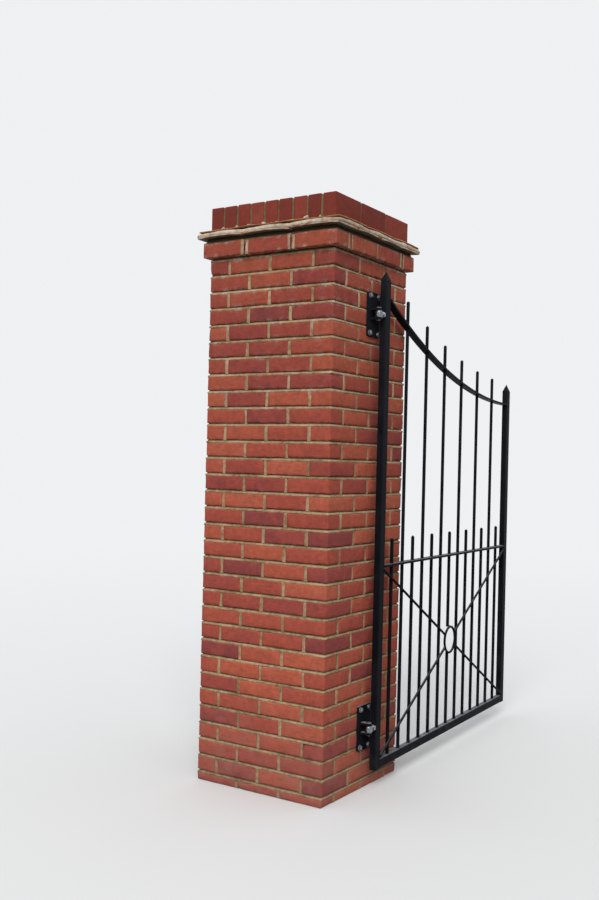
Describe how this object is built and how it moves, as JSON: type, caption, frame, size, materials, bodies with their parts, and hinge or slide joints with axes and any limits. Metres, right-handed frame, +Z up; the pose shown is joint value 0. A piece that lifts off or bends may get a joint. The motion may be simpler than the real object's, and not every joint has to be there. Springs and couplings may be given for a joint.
{
  "type": "double driveway gate with brick piers",
  "caption": "Pair of swept wrought iron driveway gate leaves hung on tall square brick piers; each leaf swings about a vertical pin line.",
  "frame": {"origin": "centre of the left pier's foot, at ground level", "axes": "+Z up; +X across the driveway from the left pier to the right pier; +Y from the street into the property, the way the open leaves point"},
  "size_m": [4.914, 2.0634, 2.6055],
  "materials": {
    "brick": "rough red facing brick with beige mortar joints",
    "creasing_tile": "plain clay tile smeared with mortar",
    "black_paint": "satin black paint on steel",
    "zinc": "bright zinc plating"
  },
  "bodies": {
    "piers": {"left_pier_shaft": "brick", "left_corbel_course": "brick", "left_tile_creasing": "creasing_tile", "left_brick_coping": "brick", "left_upper_hinge_plate": "black_paint", "left_lower_hinge_plate": "black_paint", "left_upper_hinge_pin": "zinc", "left_lower_hinge_pin": "zinc", "right_pier_shaft": "brick", "right_corbel_course": "brick", "right_tile_creasing": "creasing_tile", "right_brick_coping": "brick", "right_upper_hinge_plate": "black_paint", "right_lower_hinge_plate": "black_paint", "right_upper_hinge_pin": "zinc", "right_lower_hinge_pin": "zinc"},
    "left_leaf": {"left_upper_eye_bolt": "zinc", "left_lower_eye_bolt": "zinc", "left_hinge_stile": "black_paint", "left_hinge_stile_point": "black_paint", "left_meeting_stile": "black_paint", "left_meeting_stile_point": "black_paint", "left_bottom_rail": "black_paint", "left_middle_rail": "black_paint", "left_swept_top_rail": "black_paint", "left_long_bars": "black_paint", "left_short_bars": "black_paint", "left_cross_braces": "black_paint", "left_ring": "black_paint"},
    "right_leaf": {"right_upper_eye_bolt": "zinc", "right_lower_eye_bolt": "zinc", "right_hinge_stile": "black_paint", "right_hinge_stile_point": "black_paint", "right_meeting_stile": "black_paint", "right_meeting_stile_point": "black_paint", "right_bottom_rail": "black_paint", "right_middle_rail": "black_paint", "right_swept_top_rail": "black_paint", "right_long_bars": "black_paint", "right_short_bars": "black_paint", "right_cross_braces": "black_paint", "right_ring": "black_paint"}
  },
  "joints": [
    {"name": "left_leaf_hinge", "type": "hinge", "parent": "piers", "child": "left_leaf", "pos_m": [0.3745, -0.0125, 0], "axis": [0, 0, -1], "range_deg": [0, 91.9]},
    {"name": "right_leaf_hinge", "type": "hinge", "parent": "piers", "child": "right_leaf", "pos_m": [3.7825, -0.0125, 0], "axis": [0, 0, 1], "range_deg": [0, 91.9]}
  ]
}
